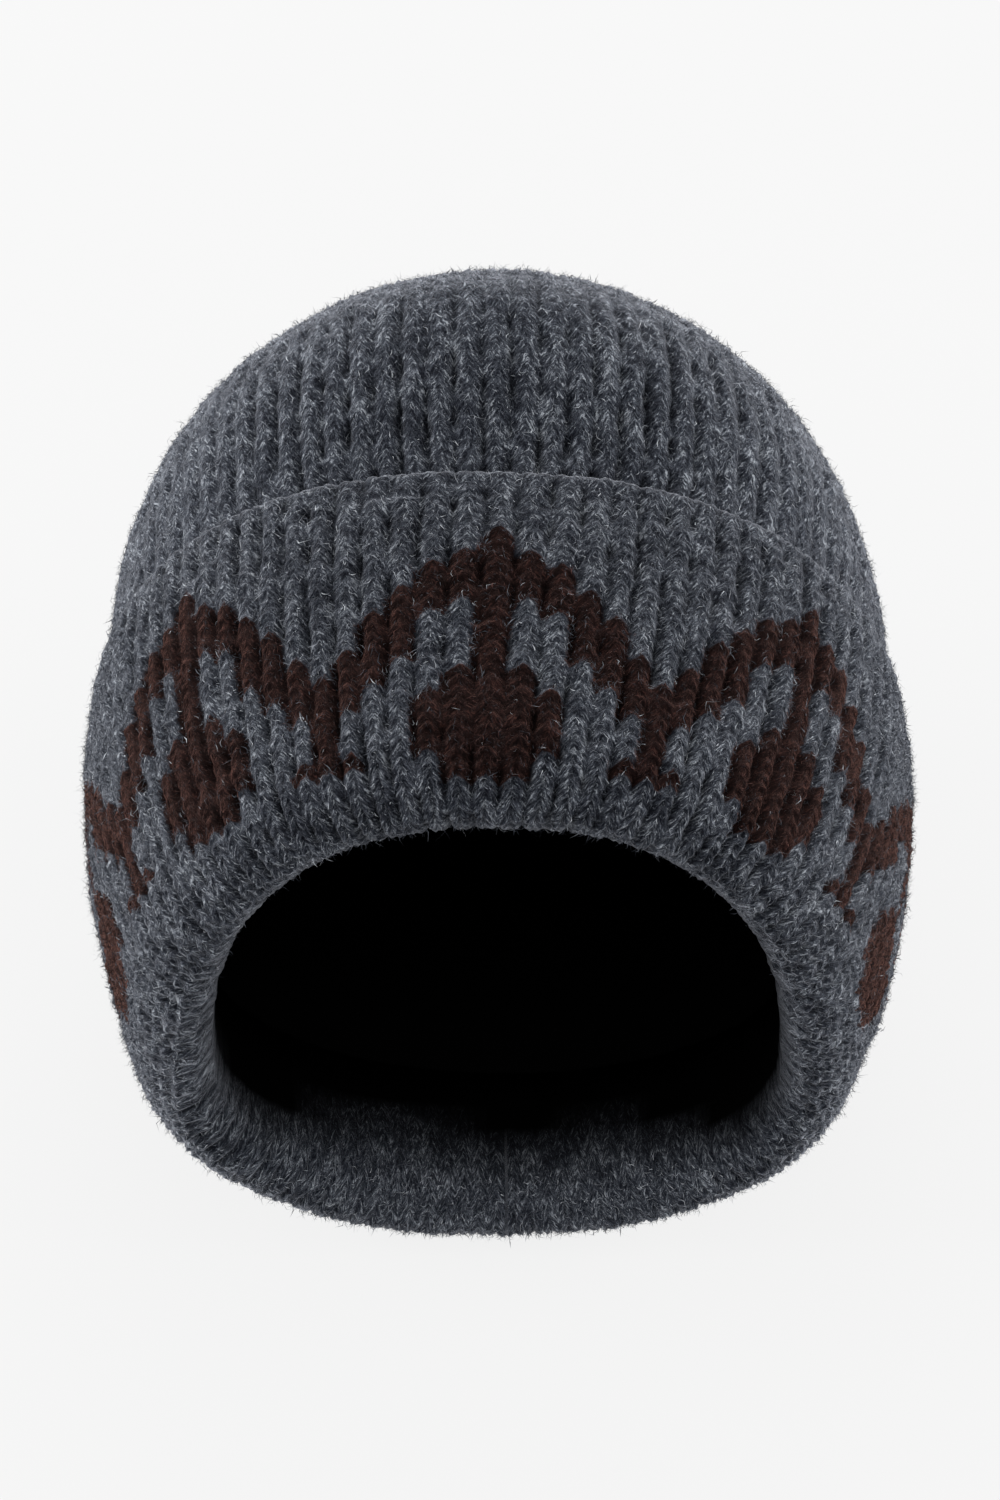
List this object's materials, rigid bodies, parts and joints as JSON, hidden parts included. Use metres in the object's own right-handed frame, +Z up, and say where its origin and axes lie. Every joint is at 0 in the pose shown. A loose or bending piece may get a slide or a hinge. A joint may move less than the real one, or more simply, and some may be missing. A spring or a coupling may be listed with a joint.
{
  "type": "cuffed knit beanie",
  "caption": "Chunky knit beanie with a deep turned-up cuff and a patterned band, lying on its back with the head opening facing forward.",
  "frame": {"origin": "on the floor under the middle of the cap's box, the cap lying on its flattened back", "axes": "+Y from the head opening to the crown tip, +Z up out of the cap's front, +X to the right seen from the opening"},
  "size_m": [0.231, 0.2324, 0.1998],
  "materials": {
    "grey_heather_knit": "soft brushed chunky knit in charcoal grey heather",
    "patterned_knit": "the same chunky knit with dark brown arches knitted in"
  },
  "bodies": {
    "root": {"crown": "grey_heather_knit", "cuff": "patterned_knit"}
  },
  "joints": []
}
